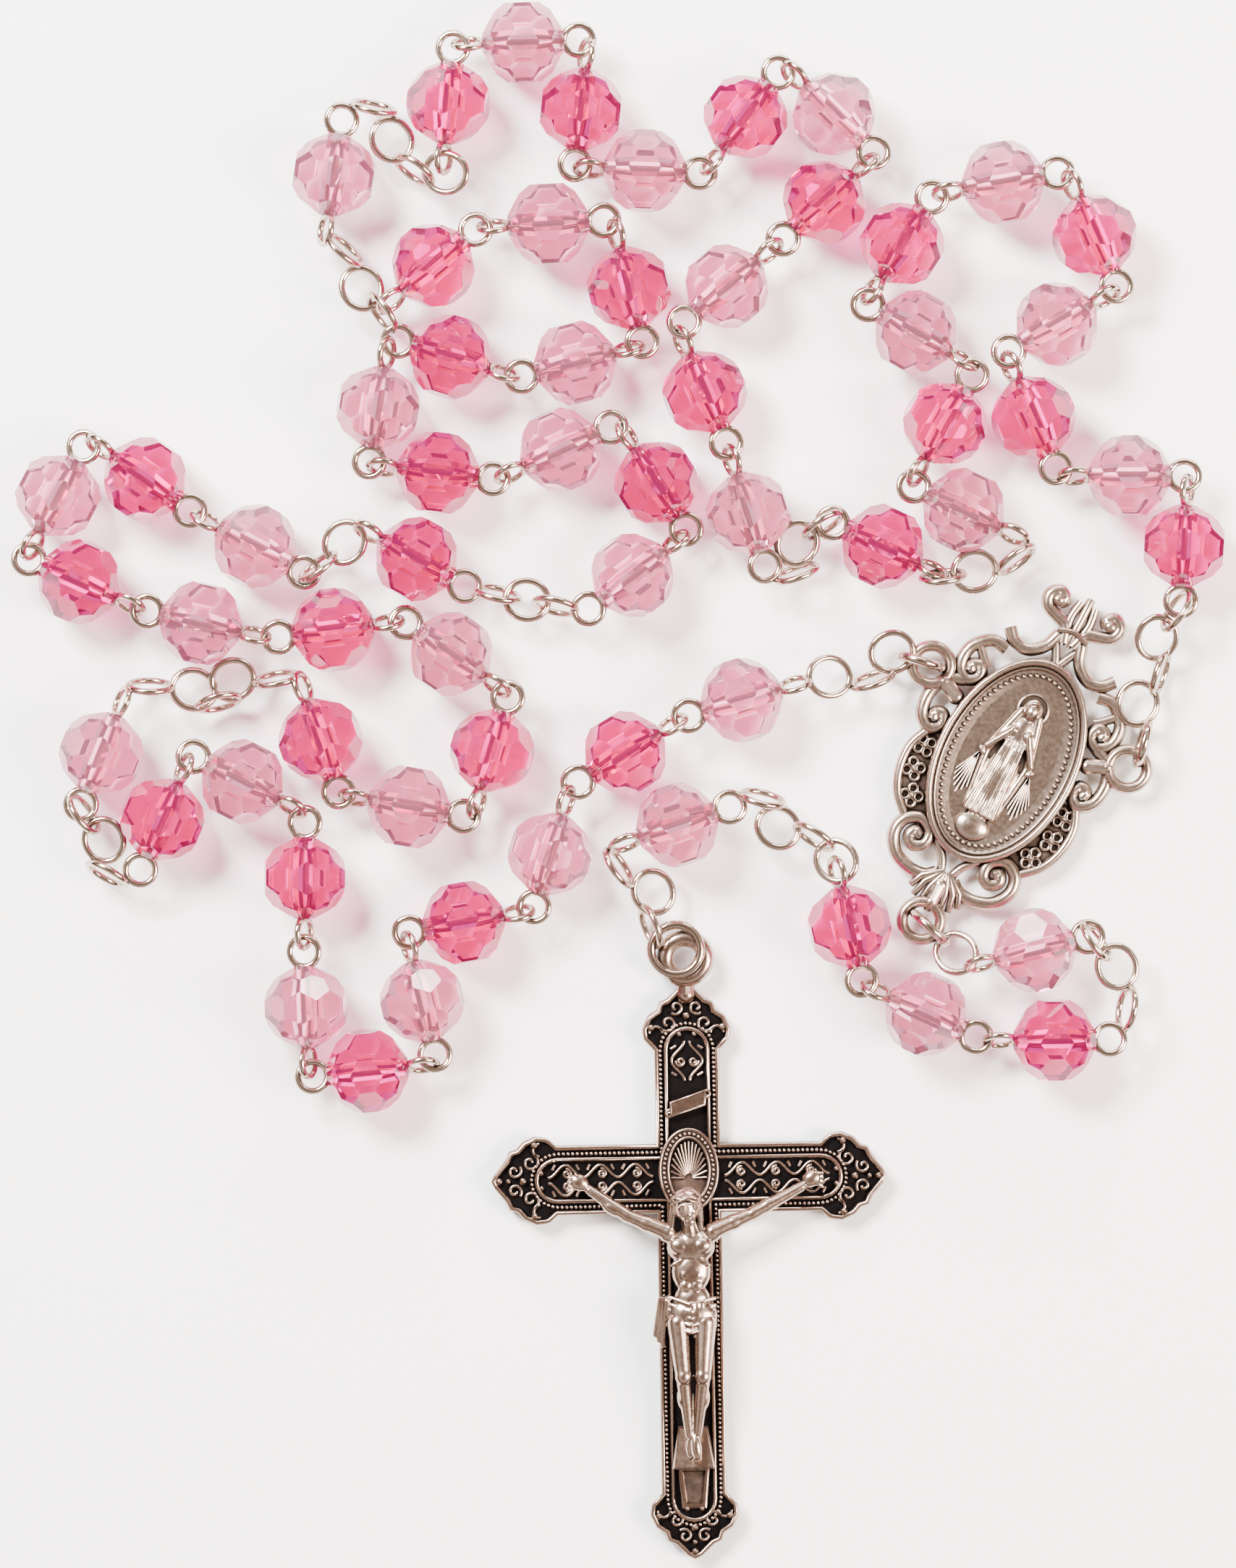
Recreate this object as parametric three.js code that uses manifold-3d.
// Five-decade rosary laid flat on a table: faceted beads on eye pins, oval chain links,
// a three-eared centre medal and a crucifix with its figure.
// Frame: mm, +Z up off the table, +Y toward the top of the laid-out loop, +X to the right.
// The origin is the middle of the footprint, on the table.
import * as THREE from 'three';
import { mergeVertices } from 'three/addons/utils/BufferGeometryUtils.js';
import Module from 'manifold-3d';

const wasm = await Module();
wasm.setup();

// ---------------------------------------------------------------- driving dimensions (mm)
const BEAD_DIAMETER = 8.0;
const BEAD_LENGTH = 7.8;
const BEAD_SIDES = 8;
const PIN_WIRE = 0.65;
const EYE_RADIUS = 1.4;
const EYE_SUNK = 0.1; // how far an eye's wire goes into its bead
const LINK_WIRE = 0.55;
const LINK_LENGTH = 4.6;
const LINK_WIDTH = 4.2;
const RING_WIRE = 0.9;
const MEDAL_RING = 5.0;
const CROSS_RING = 5.6;
const PLAY = 0.4; // free gap between wires that swivel in each other
const WELD = 0.12; // bite of the wires that are kept as one piece
const SIDE_GAP = 0.35; // least gap between strands lying next to each other
const SAG = 0.22; // how far a run drops between two beads, for each of its links

const MEDAL_AT = [36.5, 3.0];
const MEDAL_TILT = -28;
const MEDAL_THICK = 2.8;
const MEDAL_LIFT_EAR = 1.9;
const OVAL_ACROSS = 6.1;
const OVAL_ALONG = 9.7;
const FRAME_RIM = 3.1;
const EAR_OUTER = 4.8;
const EAR_HOLE = 2.5;
const EAR_THICK = 1.4;
const EAR_SIDE = [10.5, 4.7];
const EAR_FOOT = 17.1;

const CROSS_AT = [6.5, -36.5]; // crossing of the two bars
const CROSS_TILT = 1;
const CROSS_THICK = 2.2;
const CROSS_UP = 18.4;
const CROSS_DOWN = 36.0;
const CROSS_ARM = 18.7;
const UPRIGHT_WIDTH = 6.1;
const ARM_WIDTH = 6.5;
const TIP_WIDTH = 8.3;
const CROSS_EYE_TUBE = 1.7;
const CROSS_EYE_RADIUS = 1.9;
const FIGURE_GAP = 0.3;
const FIGURE_HEIGHT = 23.5;
const HAND_REACH = 11.0;

// Hand-laid route: the swivel between each pair of neighbours, from the medal's left ear
// round the loop to its right ear. A number is a run of that many chain links.
const LOOP = [
  { run: 4, ring: 'start' }, [19, 11],
  [6.5, 7], [-5.5, 0], [-9.5, -13], [-21, -14.5], [-16.5, -26], [-28.5, -28], [-29.5, -14],
  [-31, -0.5], [-42, 3.5], [-45, -8.5], { run: 3 }, [-50.5, -1.5], [-46.5, 9.5], { run: 5 },
  [-30.5, 12], [-27.5, 0.5], [-13, -2], [-11.5, 9.5], [-22, 17.5], [-32, 13.5], [-43.5, 17.5],
  [-55.5, 21.5], [-50, 33], [-40, 26], [-28.5, 20], { run: 2 }, [-24, 25], [-15, 19.5], { run: 3 },
  [-3.5, 17], [6.5, 25], [0, 35], [-10, 28], [-24.5, 31.5], [-23, 41.5], [-9.5, 37.5],
  [2, 43.5], [1, 53.5], [-12.5, 53], [-22, 46.5], { run: 3 }, [-26.5, 53.5], [-26, 65], { run: 4 },
  [-16.5, 57], [-17, 68.5], [-2.5, 69.5], [-3.5, 58], [7.5, 57], [14.5, 66.5], [24, 59],
  [15.5, 51], [5, 45], [10.5, 32], [14.5, 20], { run: 3 }, [19, 26], [30, 20.5], { run: 3 },
  [40, 23.5], [27.5, 28], [32.5, 39.5], [23, 47], [28.5, 57.5], [40, 57.5], [46.5, 48],
  [34.5, 41.5], [40.5, 29], [54.5, 29.5], [52, 17.5], { run: 5, ring: 'end' },
];
const PENDANT = [
  { run: 2, ring: 'start' }, [34, -17],
  [45, -14.5], { run: 3 }, [47.5, -22], [35, -23.5], [22.5, -19], [20, -5], { run: 4 },
  [10.5, -0.5], [-1, -4.5], { run: 4, ring: 'end' },
];
// how the ten beads of a decade are shared out: one, then two kept together, and so on
const DECADE = [1, 2, 1, 2, 1, 2, 1];
const OPENED_AFTER = 'decade3_beads_5_6'; // the loop's swivel that is left open

// ---------------------------------------------------------------- derived
const BEAD_Z = BEAD_DIAMETER / 2;
const EYE_AT = BEAD_LENGTH / 2 - EYE_SUNK + EYE_RADIUS;
const EYE_OUTER = EYE_RADIUS + PIN_WIRE / 2;
const LINK_HALF = (LINK_LENGTH - LINK_WIRE) / 2;
const LINK_SIDE = (LINK_WIDTH - LINK_WIRE) / 2;
const rad = (deg) => (deg * Math.PI) / 180;

// ---------------------------------------------------------------- solids
function toManifold(geometry) {
  const clean = geometry.clone();
  clean.deleteAttribute('normal');
  clean.deleteAttribute('uv');
  const merged = mergeVertices(clean, 1e-4);
  return new wasm.Manifold(new wasm.Mesh({
    numProp: 3,
    vertProperties: new Float32Array(merged.attributes.position.array),
    triVerts: new Uint32Array(merged.index.array),
  }));
}

function toGeometry(solid) {
  const mesh = solid.getMesh();
  const geometry = new THREE.BufferGeometry();
  geometry.setAttribute('position', new THREE.BufferAttribute(new Float32Array(mesh.vertProperties), 3));
  geometry.setIndex(new THREE.BufferAttribute(new Uint32Array(mesh.triVerts), 1));
  geometry.computeVertexNormals();
  return geometry;
}

function join(geometries) {
  const solids = geometries.map(toManifold);
  return toGeometry(solids.reduce((sum, next) => sum.add(next)));
}

function cut(body, tools) {
  let solid = toManifold(body);
  for (const tool of tools) {
    solid = solid.subtract(toManifold(tool));
  }
  return toGeometry(solid);
}

// a faceted bead lying along x
function beadGeometry() {
  const r = BEAD_DIAMETER / 2;
  const h = BEAD_LENGTH / 2;
  const profile = [[0, -h], [0.48 * r, -h], [r, -0.3 * h], [r, 0.3 * h], [0.48 * r, h], [0, h]];
  const points = profile.map(([x, y]) => new THREE.Vector2(x, y));
  const bead = new THREE.LatheGeometry(points, BEAD_SIDES);
  bead.rotateY(Math.PI / BEAD_SIDES);
  bead.rotateZ(-Math.PI / 2);
  return bead;
}

// a wire ring lying in xy, long way along x
function ringGeometry(halfLength, halfWidth, wire, around) {
  const ring = new THREE.TorusGeometry(halfWidth, wire / 2, 4, around);
  ring.scale(halfLength / halfWidth, 1, 1);
  return ring;
}

// stand a flat ring on edge when its way is upright
function placed(geometry, upright, from, to, share) {
  const a = new THREE.Vector3(...from);
  const b = new THREE.Vector3(...to);
  const way = b.clone().sub(a).normalize();
  const side = new THREE.Vector3(0, 0, 1).cross(way).normalize();
  const up = way.clone().cross(side);
  const copy = geometry.clone();
  if (upright) {
    copy.rotateX(Math.PI / 2);
  }
  const turn = new THREE.Matrix4().makeBasis(way, side, up);
  const centre = a.clone().addScaledVector(way, share);
  turn.setPosition(centre);
  copy.applyMatrix4(turn);
  return copy;
}

// ---------------------------------------------------------------- units of the chain
// Every unit ends in a ring that is either flat or upright. Two neighbours are always one
// of each, and swivel about the upright one's wire.
function reach(end, other, held) {
  if (end.upright) {
    return end.half;
  }
  const play = held ? -WELD : PLAY;
  return end.half - ((end.wire + other.wire) / 2 + play);
}

function expand(route, names) {
  const units = [];
  let upright = true;
  let group = 0;
  let previous = null;
  for (const stop of route) {
    if (Array.isArray(stop)) {
      if (previous && Array.isArray(previous)) {
        const spec = names.beads[group];
        units.push({ kind: 'bead', node: spec.node, colour: spec.colour, from: upright, to: !upright });
        group += 1;
      }
    } else {
      const run = names.runs.shift();
      for (let i = 0; i < stop.run; i += 1) {
        const ringed = (stop.ring === 'start' && i === 0) || (stop.ring === 'end' && i === stop.run - 1);
        units.push({ kind: ringed ? names.ring[stop.ring] : 'link', node: run, from: upright, to: upright });
        upright = !upright;
      }
    }
    previous = stop;
  }
  return units;
}

function endOf(unit, which) {
  const sizes = {
    bead: { half: EYE_RADIUS, wire: PIN_WIRE },
    link: { half: LINK_HALF, wire: LINK_WIRE },
    medalRing: { half: (MEDAL_RING - RING_WIRE) / 2, wire: RING_WIRE },
    crossRing: { half: (CROSS_RING - RING_WIRE) / 2, wire: RING_WIRE },
  };
  return { ...sizes[unit.kind], upright: which === 'from' ? unit.from : unit.to };
}

function measure(units) {
  units.forEach((unit, i) => {
    const before = units[i - 1];
    const after = units[i + 1];
    const a = endOf(unit, 'from');
    const b = endOf(unit, 'to');
    const out = unit.kind === 'bead' ? EYE_AT : 0;
    unit.back = out + (before ? reach(a, endOf(before, 'to'), before.node === unit.node) : a.half);
    unit.ahead = out + (after ? reach(b, endOf(after, 'from'), after.node === unit.node) : b.half);
    unit.length = unit.back + unit.ahead;
  });
}

function beadNames() {
  const loop = [];
  let light = true;
  const next = (node) => {
    loop.push({ node, colour: light ? 'light' : 'rose' });
    light = !light;
  };
  for (let decade = 1; decade <= 5; decade += 1) {
    let bead = 1;
    for (const size of DECADE) {
      const last = bead + size - 1;
      const label = size === 1 ? `decade${decade}_bead_${bead}` : `decade${decade}_beads_${bead}_${last}`;
      for (let i = 0; i < size; i += 1) {
        next(label);
      }
      bead += size;
    }
    if (decade < 5) {
      next(`our_father_bead_${decade}`);
    }
  }
  return loop;
}

const LOOP_NAMES = {
  beads: beadNames(),
  runs: ['medal_left_chain', 'our_father_1_lower_chain', 'our_father_1_upper_chain',
    'our_father_2_left_chain', 'our_father_2_right_chain', 'our_father_3_lower_chain',
    'our_father_3_upper_chain', 'our_father_4_left_chain', 'our_father_4_right_chain',
    'medal_right_chain'],
  ring: { start: 'medalRing', end: 'medalRing' },
};
const PENDANT_NAMES = {
  beads: [
    { node: 'pendant_bead_1', colour: 'light' }, { node: 'pendant_beads_2_3', colour: 'rose' },
    { node: 'pendant_beads_2_3', colour: 'light' }, { node: 'pendant_bead_4', colour: 'rose' },
    { node: 'pendant_bead_5', colour: 'light' },
  ],
  runs: ['pendant_medal_chain', 'pendant_upper_chain', 'pendant_lower_chain', 'crucifix_chain'],
  ring: { start: 'medalRing', end: 'crossRing' },
};

// ---------------------------------------------------------------- laying the chain out
const turned = ([x, y], degrees) => {
  const c = Math.cos(rad(degrees));
  const s = Math.sin(rad(degrees));
  return [c * x - s * y, s * x + c * y];
};
const onMedal = (x, y) => {
  const [dx, dy] = turned([x, y], MEDAL_TILT);
  return [MEDAL_AT[0] + dx, MEDAL_AT[1] + dy];
};
const onCross = (x, y) => {
  const [dx, dy] = turned([x, y], CROSS_TILT);
  return [CROSS_AT[0] + dx, CROSS_AT[1] + dy];
};
const CROSS_EYE_Y = CROSS_UP + CROSS_EYE_RADIUS + CROSS_EYE_TUBE / 2 - 0.3;

// spread a route's stops over its units: a run's swivels start evenly between its ends
function firstGuess(route, start, end) {
  const stops = [start, ...route, end];
  const points = [start];
  for (let i = 1; i < stops.length; i += 1) {
    const stop = stops[i];
    if (Array.isArray(stop)) {
      points.push(stop);
      continue;
    }
    const from = points[points.length - 1];
    const to = stops[i + 1];
    for (let k = 1; k <= stop.run; k += 1) {
      const t = k / stop.run;
      points.push([from[0] + (to[0] - from[0]) * t, from[1] + (to[1] - from[1]) * t]);
    }
    i += 1;
  }
  return points;
}

function discsOf(strand, index, unit) {
  const at = (s, r, kind) => ({ strand, index, s: s / unit.length, r, kind });
  if (unit.kind !== 'bead') {
    const r = unit.kind === 'link' ? LINK_LENGTH / 2 - 0.6 : MEDAL_RING / 2;
    return [at(unit.back, r, 'link')];
  }
  return [at(unit.back, BEAD_DIAMETER / 2, 'bead'), at(unit.back - EYE_AT, EYE_OUTER, 'eye'),
    at(unit.back + EYE_AT, EYE_OUTER, 'eye')];
}

function keepOuts() {
  const discs = [];
  const add = (centre, r) => discs.push({ fixed: centre, r });
  add(onMedal(0, -5), OVAL_ACROSS + FRAME_RIM - 1.5);
  add(onMedal(0, 3), OVAL_ACROSS + FRAME_RIM);
  add(onMedal(0, 9), OVAL_ACROSS);
  add(onMedal(0, 15.5), 4);
  add(onMedal(0, -13), 3.5);
  for (let y = 16; y > -CROSS_DOWN; y -= 4) {
    add(onCross(0, y), TIP_WIDTH / 2);
  }
  for (let x = -CROSS_ARM + 4; x < CROSS_ARM; x += 4) {
    add(onCross(x, 0), TIP_WIDTH / 2);
  }
  return discs;
}

const spot = (disc) => {
  if (disc.fixed) {
    return disc.fixed;
  }
  const a = disc.strand.points[disc.index];
  const b = disc.strand.points[disc.index + 1];
  return [a[0] + (b[0] - a[0]) * disc.s, a[1] + (b[1] - a[1]) * disc.s];
};

const push = (disc, dx, dy) => {
  if (disc.fixed) {
    return;
  }
  const weights = [1 - disc.s, disc.s];
  const sum = weights[0] ** 2 + weights[1] ** 2;
  weights.forEach((weight, k) => {
    const point = disc.strand.points[disc.index + k];
    point[0] += (dx * weight) / sum;
    point[1] += (dy * weight) / sum;
  });
};

function separate(pairs) {
  for (const [p, q, need] of pairs) {
    const a = spot(p);
    const b = spot(q);
    const dx = b[0] - a[0];
    const dy = b[1] - a[1];
    const d = Math.hypot(dx, dy) || 1e-6;
    if (d < need) {
      const move = (need - d) / (q.fixed ? 1 : 2) / d;
      push(p, -dx * move, -dy * move);
      push(q, dx * move, dy * move);
    }
  }
}

function holdLengths(strand) {
  const { points, units } = strand;
  const last = units.length - 1;
  for (let k = 0; k <= last; k += 1) {
    const a = points[k];
    const b = points[k + 1];
    const dx = b[0] - a[0];
    const dy = b[1] - a[1];
    const d = Math.hypot(dx, dy) || 1e-6;
    const fixedA = k === 0;
    const fixedB = k === last;
    const miss = (d - units[k].flat) / d;
    const share = fixedA || fixedB ? 1 : 0.5;
    if (!fixedA) {
      a[0] += dx * miss * share;
      a[1] += dy * miss * share;
    }
    if (!fixedB) {
      b[0] -= dx * miss * share;
      b[1] -= dy * miss * share;
    }
  }
}

function nearPairs(discs) {
  const pairs = [];
  discs.forEach((p, i) => {
    for (let j = i + 1; j < discs.length; j += 1) {
      const q = discs[j];
      if (p.fixed && q.fixed) {
        continue;
      }
      const same = p.strand === q.strand;
      const steps = same ? Math.abs(p.index - q.index) : 99;
      const both = p.kind + q.kind;
      if (steps === 1 && (both === 'beadlink' || both === 'linkbead')) {
        pairs.push([p, q, (BEAD_DIAMETER + LINK_LENGTH) / 2 + PLAY]); // no sharp fold back
        continue;
      }
      if (steps === 0 || (steps === 1 && both !== 'beadbead')) {
        continue;
      }
      if (steps === 2 && p.kind !== 'bead' && q.kind !== 'bead') {
        continue;
      }
      const held = p.strand && q.fixed && (p.index < 2 || p.index > p.strand.units.length - 3);
      if (held) {
        continue;
      }
      pairs.push([p, q, p.r + q.r + SIDE_GAP]);
    }
  });
  return pairs;
}

function settle(strands) {
  const discs = [];
  for (const strand of strands) {
    strand.home = strand.points.map((point) => [...point]);
    strand.units.forEach((unit, index) => discs.push(...discsOf(strand, index, unit)));
  }
  discs.push(...keepOuts());
  const pairs = nearPairs(discs);
  const passes = 1500;
  for (let pass = 0; pass < passes; pass += 1) {
    const pull = 0.05 * Math.max(0, 1 - pass / (passes * 0.6));
    for (const strand of strands) {
      strand.points.forEach((point, k) => {
        if (k > 0 && k < strand.points.length - 1) {
          point[0] += (strand.home[k][0] - point[0]) * pull;
          point[1] += (strand.home[k][1] - point[1]) * pull;
        }
      });
    }
    separate(pairs);
    for (let k = 0; k < 4; k += 1) {
      strands.forEach(holdLengths);
    }
  }
}

function strandOf(route, names, start, end) {
  const copy = { ...names, runs: [...names.runs] };
  const units = expand(route, copy);
  measure(units);
  return { units, points: firstGuess(route, start, end).map((point) => [...point]) };
}

// heights: beads rest on the table, runs of links drop a little between them
function heights(strand) {
  const z = strand.points.map(() => BEAD_Z);
  const { units } = strand;
  let k = 0;
  while (k < units.length) {
    if (units[k].kind === 'bead') {
      k += 1;
      continue;
    }
    let end = k;
    while (end < units.length && units[end].kind !== 'bead') {
      end += 1;
    }
    const low = (unit) => (unit.kind === 'crossRing' ? CROSS_RING : MEDAL_RING) / 2;
    const from = k === 0 ? low(units[k]) : BEAD_Z;
    const to = end === units.length ? low(units[end - 1]) : BEAD_Z;
    for (let i = k; i <= end; i += 1) {
      const t = (i - k) / (end - k);
      z[i] = from + (to - from) * t - SAG * (end - k) * Math.sin(Math.PI * t);
    }
    if (k === 0) {
      z[1] = from;
    }
    if (end === units.length) {
      z[end - 1] = to;
    }
    k = end;
  }
  strand.z = z;
  units.forEach((unit, i) => {
    unit.flat = Math.sqrt(unit.length ** 2 - (z[i + 1] - z[i]) ** 2);
  });
}

// ---------------------------------------------------------------- medal
function slab(outline, bottom, height) {
  const shape = new THREE.Shape(outline.map(([x, y]) => new THREE.Vector2(x, y)));
  const plate = new THREE.ExtrudeGeometry(shape, { depth: height, bevelEnabled: false, steps: 1 });
  plate.translate(0, 0, bottom);
  return plate;
}

function disc(radius, bottom, height, sides, at) {
  const plate = new THREE.CylinderGeometry(radius, radius, height, sides);
  plate.rotateX(Math.PI / 2);
  plate.translate(at[0], at[1], bottom + height / 2);
  return plate;
}

function oval(across, along, bottom, height, sides, at = [0, 0]) {
  const plate = disc(1, bottom, height, sides, [0, 0]);
  plate.scale(across, along, 1);
  plate.translate(at[0], at[1], 0);
  return plate;
}

function earParts(x, y, reachIn) {
  const bottom = MEDAL_LIFT_EAR - EAR_THICK / 2;
  const arm = new THREE.BoxGeometry(reachIn, 2.2, EAR_THICK);
  arm.translate(-reachIn / 2 - EAR_OUTER / 2 + 0.5, 0, 0);
  arm.rotateZ(Math.atan2(y, x));
  arm.translate(x, y, MEDAL_LIFT_EAR);
  return [disc(EAR_OUTER / 2, bottom, EAR_THICK, 14, [x, y]), arm];
}

function medalGeometry() {
  const across = OVAL_ACROSS + FRAME_RIM;
  const along = OVAL_ALONG + FRAME_RIM;
  const frame = [
    oval(across, along, 0, MEDAL_THICK - 0.7, 20),
    oval(OVAL_ACROSS + 0.9, OVAL_ALONG + 0.9, 0, MEDAL_THICK, 20),
    oval(3.6, 3.2, 0, MEDAL_THICK - 0.6, 12, [0, along]),
    disc(1.7, 0, MEDAL_THICK - 0.4, 10, [-2.9, along + 2.9]),
    disc(1.7, 0, MEDAL_THICK - 0.4, 10, [2.9, along + 2.9]),
    oval(1.3, 2.6, 0, MEDAL_THICK - 0.4, 10, [0, along + 2.6]),
    oval(4.4, 2.4, 0, MEDAL_THICK - 0.6, 12, [0, -along + 0.8]),
    ...earParts(-EAR_SIDE[0], EAR_SIDE[1], 3),
    ...earParts(EAR_SIDE[0], EAR_SIDE[1], 3),
    ...earParts(0, -EAR_FOOT, 3),
  ];
  const window = (x, y) => disc(0.95, -1, MEDAL_THICK + 2, 6, [x, y]);
  const holes = [];
  for (const side of [-1, 1]) {
    holes.push(window(side * (across - 1.05), -1.2));
    holes.push(window(side * (across - 1.9), -5.2));
    holes.push(window(side * (across - 3.6), along - 3.1));
    holes.push(disc(EAR_HOLE / 2, -1, MEDAL_THICK + 2, 12, [side * EAR_SIDE[0], EAR_SIDE[1]]));
  }
  holes.push(disc(EAR_HOLE / 2, -1, MEDAL_THICK + 2, 12, [0, -EAR_FOOT]));
  const dish = oval(OVAL_ACROSS, OVAL_ALONG, MEDAL_THICK - 0.9, 2, 20);
  const figure = [
    oval(1.9, 5.4, MEDAL_THICK - 1.2, 1.3, 10, [0, -0.8]),
    disc(1.25, MEDAL_THICK - 1.2, 1.3, 10, [0, 5.3]),
    oval(2.9, 1.6, MEDAL_THICK - 1.2, 1.0, 10, [0, -6.6]),
  ];
  return join([cut(join(frame), [...holes, dish]), ...figure]);
}

// ---------------------------------------------------------------- crucifix
function barOutline(length, width, sign) {
  const w = width / 2;
  const t = TIP_WIDTH / 2;
  const right = [[w, 0], [w, length - 6.2], [w + 0.6, length - 5.4], [t, length - 4.2],
    [t - 0.5, length - 2.6], [w - 0.6, length - 1.6], [0.7, length]];
  const left = right.map(([x, y]) => [-x, y]).reverse();
  return [...right, ...left].map(([x, y]) => [x * sign, y * sign]);
}

function bar(length, width, turn) {
  const plate = slab(barOutline(length, width, 1), 0, CROSS_THICK - 0.4);
  const inner = barOutline(length - 0.8, width - 1.6, 1).map(([x, y]) => [x * 0.86, y]);
  const panel = slab(inner, 0.2, CROSS_THICK - 0.2);
  plate.rotateZ(rad(turn));
  panel.rotateZ(rad(turn));
  return [plate, panel];
}

function crossGeometry() {
  const eye = new THREE.TorusGeometry(CROSS_EYE_RADIUS, CROSS_EYE_TUBE / 2, 5, 10);
  eye.translate(0, CROSS_EYE_Y, 2.0);
  const neck = new THREE.BoxGeometry(1.6, 2.0, 1.6);
  neck.translate(0, CROSS_UP - 0.4, 1.1);
  return join([
    ...bar(CROSS_UP, UPRIGHT_WIDTH, 0),
    ...bar(CROSS_DOWN, UPRIGHT_WIDTH, 180),
    ...bar(CROSS_ARM, ARM_WIDTH, 90),
    ...bar(CROSS_ARM, ARM_WIDTH, -90),
    oval(2.9, 4.2, 0.2, CROSS_THICK - 0.1, 16),
    neck,
    eye,
  ]);
}

function limb(from, to, r0, r1) {
  const a = new THREE.Vector3(...from);
  const b = new THREE.Vector3(...to);
  const limbShape = new THREE.CylinderGeometry(r1, r0, a.distanceTo(b), 6);
  const turn = new THREE.Quaternion().setFromUnitVectors(new THREE.Vector3(0, 1, 0),
    b.clone().sub(a).normalize());
  limbShape.applyQuaternion(turn);
  limbShape.translate((a.x + b.x) / 2, (a.y + b.y) / 2, (a.z + b.z) / 2);
  return limbShape;
}

function ball(at, r, stretch) {
  const round = new THREE.SphereGeometry(r, 6, 4);
  round.scale(...stretch);
  round.translate(...at);
  return round;
}

function figureGeometry() {
  const z = CROSS_THICK + FIGURE_GAP + 1.25;
  const foot = -3 - FIGURE_HEIGHT;
  const parts = [
    ball([-0.4, -3, z + 0.9], 1.75, [0.9, 1.15, 0.95]),
    limb([-0.1, -4.2, z + 0.2], [0, -5.6, z], 0.8, 0.9),
    ball([0, -7.6, z], 2.35, [1, 1.35, 0.55]),
    ball([0.1, -11.3, z], 1.9, [1, 1.6, 0.62]),
    ball([0.2, -14.9, z + 0.1], 2.3, [1.05, 1.1, 0.62]),
    limb([1.9, -14.4, z], [3.2, -17.6, z - 0.2], 0.9, 0.5),
    limb([-0.9, -15.5, z + 0.1], [-0.9, -20.4, z + 0.6], 1.15, 0.95),
    limb([1.1, -15.5, z + 0.1], [0.9, -20.3, z + 0.7], 1.15, 0.95),
    limb([-0.9, -20.2, z + 0.6], [-0.3, foot, z - 0.1], 0.95, 0.6),
    limb([0.9, -20.1, z + 0.7], [0.3, foot, z], 0.95, 0.6),
    ball([0, foot - 0.8, z + 0.1], 1.0, [0.9, 1.5, 0.75]),
  ];
  for (const side of [-1, 1]) {
    const shoulder = [side * 1.6, -6.1, z];
    const elbow = [side * (HAND_REACH * 0.56), -3.2, z];
    const hand = [side * HAND_REACH, -0.2, z - 0.1];
    parts.push(limb(shoulder, elbow, 0.85, 0.7));
    parts.push(limb(elbow, hand, 0.7, 0.5));
    parts.push(ball(hand, 0.85, [1.2, 0.8, 0.6]));
  }
  return join(parts);
}

// ---------------------------------------------------------------- assembly
const SILVER = { color: '#c9c6c0', roughness: 0.22, metalness: 1 };
const DARK_SILVER = { color: '#8d8a86', roughness: 0.35, metalness: 1 };
const LIGHT_CRYSTAL = { color: '#f7d9df', roughness: 0.05, metalness: 0 };
const ROSE_CRYSTAL = { color: '#e8508f', roughness: 0.05, metalness: 0 };

function node(name, geometry, look, facts = {}) {
  const mesh = new THREE.Mesh(geometry, new THREE.MeshStandardMaterial(look));
  mesh.name = name;
  mesh.userData = facts;
  return mesh;
}

function unitSolids(unit, from, to) {
  const share = unit.back;
  if (unit.kind === 'bead') {
    const eye = ringGeometry(EYE_RADIUS, EYE_RADIUS, PIN_WIRE, 6);
    return [
      placed(beadGeometry(), false, from, to, share),
      placed(eye, unit.from, from, to, share - EYE_AT),
      placed(eye, unit.to, from, to, share + EYE_AT),
    ];
  }
  if (unit.kind === 'link') {
    return [placed(ringGeometry(LINK_HALF, LINK_SIDE, LINK_WIRE, 6), unit.from, from, to, share)];
  }
  const { half, wire } = endOf(unit, 'from');
  return [placed(ringGeometry(half, half, wire, 8), unit.from, from, to, share)];
}

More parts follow.
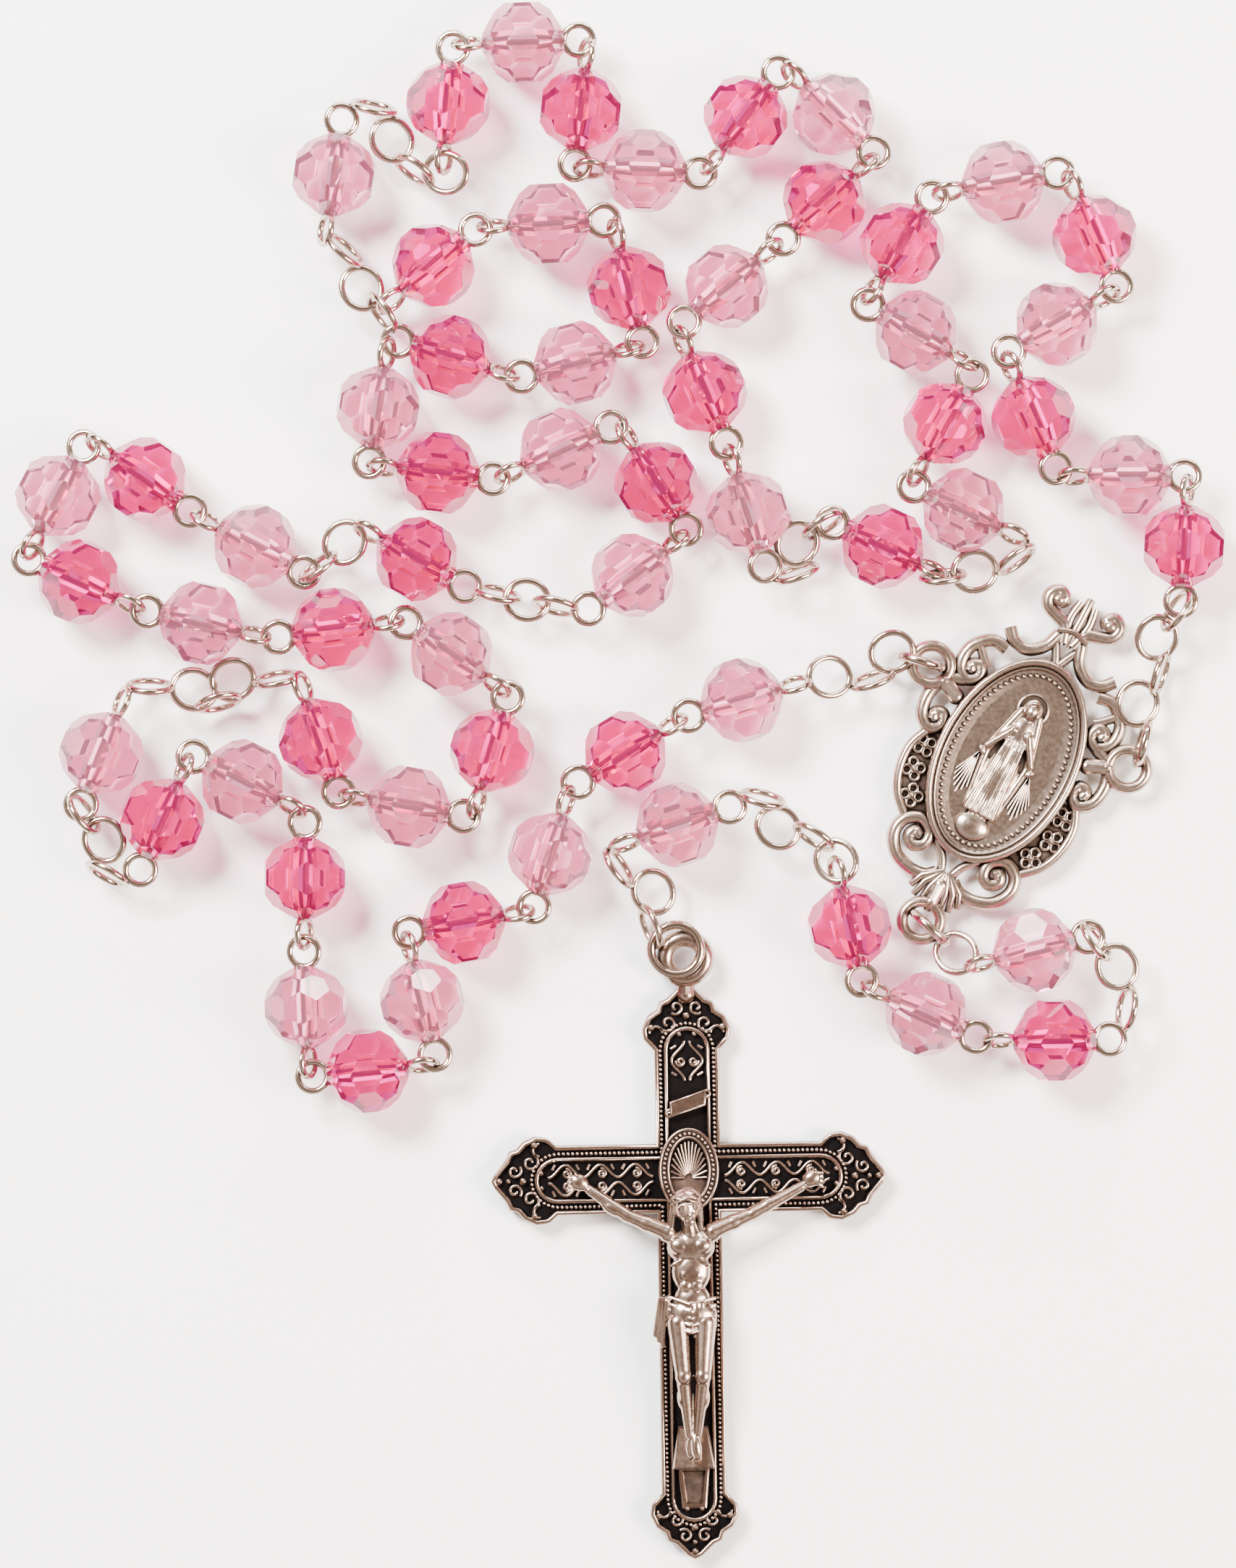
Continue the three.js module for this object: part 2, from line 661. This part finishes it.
function strandMeshes(strand, label) {
  const meshes = [];
  const groups = new Map();
  strand.units.forEach((unit, k) => {
    if (!groups.has(unit.node)) {
      groups.set(unit.node, { parts: [], first: k, last: k, unit });
    }
    const group = groups.get(unit.node);
    group.parts.push(...unitSolids(unit, strand.spots[k], strand.spots[k + 1]));
    group.last = k;
  });
  for (const [name, group] of groups) {
    let look = SILVER;
    if (group.unit.kind === 'bead') {
      look = group.unit.colour === 'light' ? LIGHT_CRYSTAL : ROSE_CRYSTAL;
    }
    const spots = strand.spots.slice(group.first, group.last + 2);
    const kinds = strand.units.slice(group.first, group.last + 1).map((unit) => unit.kind);
    meshes.push(node(name, join(group.parts), look, { strand: label, spots, kinds }));
  }
  return meshes;
}

const loop = strandOf(LOOP, LOOP_NAMES, onMedal(-EAR_SIDE[0], EAR_SIDE[1]),
  onMedal(EAR_SIDE[0], EAR_SIDE[1]));
const pendant = strandOf(PENDANT, PENDANT_NAMES, onMedal(0, -EAR_FOOT), onCross(0, CROSS_EYE_Y));
[loop, pendant].forEach(heights);
settle([loop, pendant]);
for (const strand of [loop, pendant]) {
  strand.spots = strand.points.map(([x, y], i) => [x, y, strand.z[i]]);
}

const medal = node('centre_medal', medalGeometry(), SILVER, { axis: MEDAL_TILT });
medal.position.set(MEDAL_AT[0], MEDAL_AT[1], 0);
medal.rotation.z = rad(MEDAL_TILT);
const cross = node('crucifix_cross', crossGeometry(), DARK_SILVER);
const corpus = node('crucifix_figure', figureGeometry(), SILVER);
const crucifix = new THREE.Group();
crucifix.name = 'crucifix';
crucifix.add(cross, corpus);
crucifix.position.set(CROSS_AT[0], CROSS_AT[1], 0);
crucifix.rotation.z = rad(CROSS_TILT);

const rosary = new THREE.Group();
rosary.name = 'rosary';
rosary.userData = { opened: OPENED_AFTER };
rosary.add(medal, crucifix, ...strandMeshes(loop, 'loop'), ...strandMeshes(pendant, 'pendant'));

// put the origin at the middle of the footprint
const box = new THREE.Box3().setFromObject(rosary);
rosary.position.set(-(box.min.x + box.max.x) / 2, -(box.min.y + box.max.y) / 2, -box.min.z);
rosary.updateMatrixWorld(true);

export default rosary;
